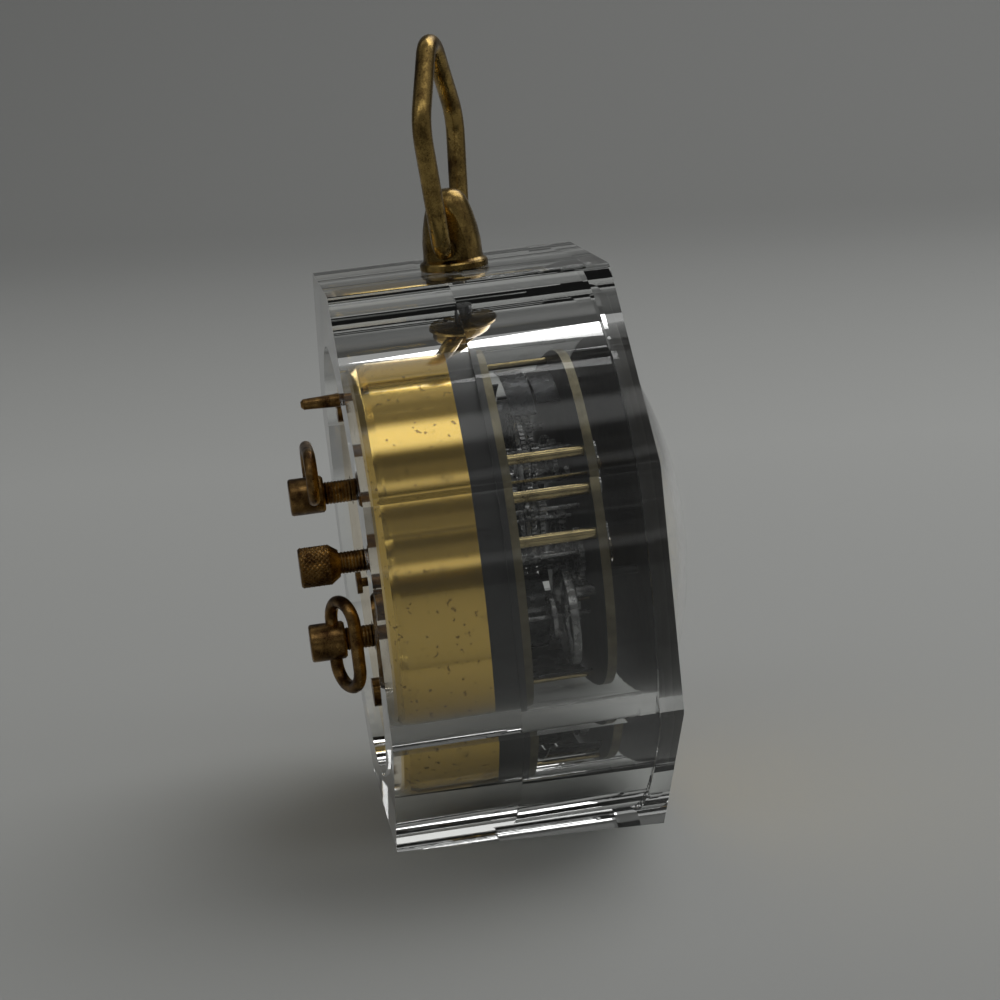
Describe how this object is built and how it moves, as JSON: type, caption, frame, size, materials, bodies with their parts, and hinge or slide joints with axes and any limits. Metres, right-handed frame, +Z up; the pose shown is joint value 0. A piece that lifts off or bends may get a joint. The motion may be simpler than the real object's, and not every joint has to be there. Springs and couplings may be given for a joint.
{
  "type": "alarm clock",
  "caption": "Octagonal clear acrylic table alarm clock leaning back slightly, brass bell cover and movement in its round bore, domed crystal, hinged brass bail, two winding keys and a set knob",
  "frame": {"origin": "centre of the slanted flat foot that the clock stands on", "axes": "+Z up; the dial faces -Y and the winding keys stand out towards +Y; the whole clock leans back by 4 degrees, so its bore axis runs along (0, 0.99756, -0.06976)"},
  "size_m": [0.09, 0.0627, 0.1245],
  "materials": {
    "clear_acrylic": "polished, clear",
    "aged_brass": "worn, slightly tarnished",
    "bright_brass": "lacquered, polished",
    "dark_metal": "satin",
    "steel": "polished",
    "dial_gold": "satin gilt",
    "black_paint": "gloss",
    "alarm_paint": "gloss"
  },
  "bodies": {
    "case": {"clear_body": "clear_acrylic", "handle_boss": "aged_brass", "handle_stud": "steel", "bell_cover": "bright_brass", "cover_posts": "bright_brass", "cover_screws": "aged_brass", "movement_ring": "dark_metal", "rear_plate": "dark_metal", "front_plate": "dark_metal", "movement_pillars": "bright_brass", "pillar_nuts": "steel", "plate_screws": "steel", "dial": "dial_gold", "hour_marks": "black_paint", "bezel_ring": "bright_brass", "crystal": "clear_acrylic", "click_screws": "steel", "pallet_cock": "steel", "hairspring": "steel", "hairspring_stud": "steel"},
    "bail": {"handle_bail": "aged_brass"},
    "time_winder": {"time_key": "aged_brass", "time_winding_arbor": "steel"},
    "time_bow": {"time_key_bow": "aged_brass"},
    "time_pawl": {"time_click": "steel"},
    "alarm_winder": {"alarm_key": "aged_brass", "alarm_winding_arbor": "steel"},
    "alarm_bow": {"alarm_key_bow": "aged_brass"},
    "alarm_pawl": {"alarm_click": "steel"},
    "time_drum": {"time_great_wheel": "dark_metal", "time_barrel": "dark_metal"},
    "center_drive": {"center_pinion": "steel", "center_wheel": "steel"},
    "third_drive": {"third_pinion": "steel", "third_wheel": "steel"},
    "fourth_drive": {"fourth_pinion": "steel", "fourth_wheel": "steel"},
    "escape_drive": {"escape_pinion": "steel", "escape_wheel": "steel"},
    "lever": {"pallet_lever": "steel"},
    "balance": {"balance_wheel": "steel", "balance_staff": "steel"},
    "hand_setting": {"center_arbor": "steel", "set_knob": "aged_brass", "cannon_pinion": "bright_brass", "minute_hand": "black_paint"},
    "minute_work": {"minute_wheel": "bright_brass"},
    "hour_work": {"hour_wheel": "bright_brass", "hour_hand": "black_paint"},
    "alarm_setting": {"alarm_disc": "bright_brass", "alarm_hand": "alarm_paint"},
    "alarm_drum": {"alarm_great_wheel": "dark_metal", "alarm_barrel": "dark_metal"},
    "alarm_drive": {"alarm_escape_wheel": "steel", "alarm_pinion": "steel"},
    "striker": {"hammer_arbor": "steel", "hammer": "steel"},
    "alarm_stop": {"alarm_stop_pin": "aged_brass"},
    "regulator": {"regulator_lever": "bright_brass"}
  },
  "joints": [
    {"name": "bail_swing", "type": "hinge", "parent": "case", "child": "bail", "pos_m": [0, 0.00641, 0.09167], "axis": [0.9336, -0.3575, 0.025], "range_deg": [-88, 88]},
    {"name": "time_key_turn", "type": "hinge", "parent": "case", "child": "time_winder", "pos_m": [0.002, 0.02206, 0.02883], "axis": [0, 0.9976, -0.0698], "continuous": true},
    {"name": "time_bow_fold", "type": "hinge", "parent": "time_winder", "child": "time_bow", "pos_m": [0.002, 0.02825, 0.0284], "axis": [0, 0.0698, 0.9976], "range_deg": [-232, 0]},
    {"name": "time_click_lift", "type": "hinge", "parent": "case", "child": "time_pawl", "pos_m": [-0.00308, 0.00265, 0.02497], "axis": [0, -0.9976, 0.0698], "range_deg": [0, 10], "stiffness_Nm_per_rad": 0.0001},
    {"name": "alarm_key_turn", "type": "hinge", "parent": "case", "child": "alarm_winder", "pos_m": [0.015, 0.02359, 0.05057], "axis": [0, 0.9976, -0.0698], "continuous": true},
    {"name": "alarm_bow_fold", "type": "hinge", "parent": "alarm_winder", "child": "alarm_bow", "pos_m": [0.015, 0.02977, 0.05014], "axis": [1, 0, 0], "range_deg": [-206, 26]},
    {"name": "alarm_click_lift", "type": "hinge", "parent": "case", "child": "alarm_pawl", "pos_m": [0.02008, 0.00489, 0.05709], "axis": [0, -0.9976, 0.0698], "range_deg": [0, 10], "stiffness_Nm_per_rad": 0.0001},
    {"name": "center_wheel_turn", "type": "hinge", "parent": "case", "child": "center_drive", "pos_m": [0, 0.00303, 0.04339], "axis": [0, 0.9976, -0.0698], "continuous": true},
    {"name": "time_drum_turn", "type": "hinge", "parent": "case", "child": "time_drum", "pos_m": [0.002, 0.00211, 0.03022], "axis": [0, 0.9976, -0.0698], "continuous": true},
    {"name": "third_wheel_turn", "type": "hinge", "parent": "case", "child": "third_drive", "pos_m": [-0.00551, 0.0037, 0.05292], "axis": [0, 0.9976, -0.0698], "continuous": true},
    {"name": "fourth_wheel_turn", "type": "hinge", "parent": "case", "child": "fourth_drive", "pos_m": [-0.01444, 0.00387, 0.0553], "axis": [0, 0.9976, -0.0698], "continuous": true},
    {"name": "escape_wheel_turn", "type": "hinge", "parent": "case", "child": "escape_drive", "pos_m": [-0.01633, 0.00324, 0.04628], "axis": [0, 0.9976, -0.0698], "continuous": true},
    {"name": "lever_swing", "type": "hinge", "parent": "case", "child": "lever", "pos_m": [-0.01617, 0.0028, 0.0401], "axis": [0, 0.9976, -0.0698], "range_deg": [-4, 4]},
    {"name": "balance_swing", "type": "hinge", "parent": "case", "child": "balance", "pos_m": [-0.016, 0.00237, 0.03391], "axis": [0, 0.9976, -0.0698], "range_deg": [-115, 115], "stiffness_Nm_per_rad": 0.000015},
    {"name": "minute_hand_turn", "type": "hinge", "parent": "case", "child": "hand_setting", "pos_m": [0, 0.00303, 0.04339], "axis": [0, 0.9976, -0.0698], "continuous": true},
    {"name": "minute_wheel_turn", "type": "hinge", "parent": "case", "child": "minute_work", "pos_m": [-0.00786, 0.00265, 0.0379], "axis": [0, 0.9976, -0.0698], "continuous": true},
    {"name": "hour_hand_turn", "type": "hinge", "parent": "case", "child": "hour_work", "pos_m": [0, 0.00303, 0.04339], "axis": [0, 0.9976, -0.0698], "continuous": true},
    {"name": "alarm_hand_turn", "type": "hinge", "parent": "case", "child": "alarm_setting", "pos_m": [0, 0.00303, 0.04339], "axis": [0, 0.9976, -0.0698], "continuous": true},
    {"name": "alarm_drum_turn", "type": "hinge", "parent": "case", "child": "alarm_drum", "pos_m": [0.015, 0.00363, 0.05197], "axis": [0, 0.9976, -0.0698], "continuous": true},
    {"name": "alarm_wheel_turn", "type": "hinge", "parent": "case", "child": "alarm_drive", "pos_m": [0.01834, 0.00277, 0.03955], "axis": [0, 0.9976, -0.0698], "continuous": true},
    {"name": "hammer_swing", "type": "hinge", "parent": "case", "child": "striker", "pos_m": [0.0234, 0.00256, 0.03663], "axis": [0, -0.9976, 0.0698], "range_deg": [-4, 2.5]},
    {"name": "alarm_stop_slide", "type": "slide", "parent": "case", "child": "alarm_stop", "axis": [0, 0.9976, -0.0698], "range_m": [-0.002, 0]},
    {"name": "regulator_swing", "type": "hinge", "parent": "case", "child": "regulator", "pos_m": [-0.016, 0.00237, 0.03391], "axis": [0, 0.9976, -0.0698], "range_deg": [-15, 15]}
  ],
  "couplings": [
    {"joint": "time_drum_turn", "follows": "center_wheel_turn", "ratio": -0.20833},
    {"joint": "third_wheel_turn", "follows": "center_wheel_turn", "ratio": -8},
    {"joint": "fourth_wheel_turn", "follows": "center_wheel_turn", "ratio": 48},
    {"joint": "escape_wheel_turn", "follows": "center_wheel_turn", "ratio": -480},
    {"joint": "minute_wheel_turn", "follows": "minute_hand_turn", "ratio": -0.33333},
    {"joint": "hour_hand_turn", "follows": "minute_hand_turn", "ratio": 0.083333},
    {"joint": "alarm_wheel_turn", "follows": "alarm_drum_turn", "ratio": -6}
  ]
}
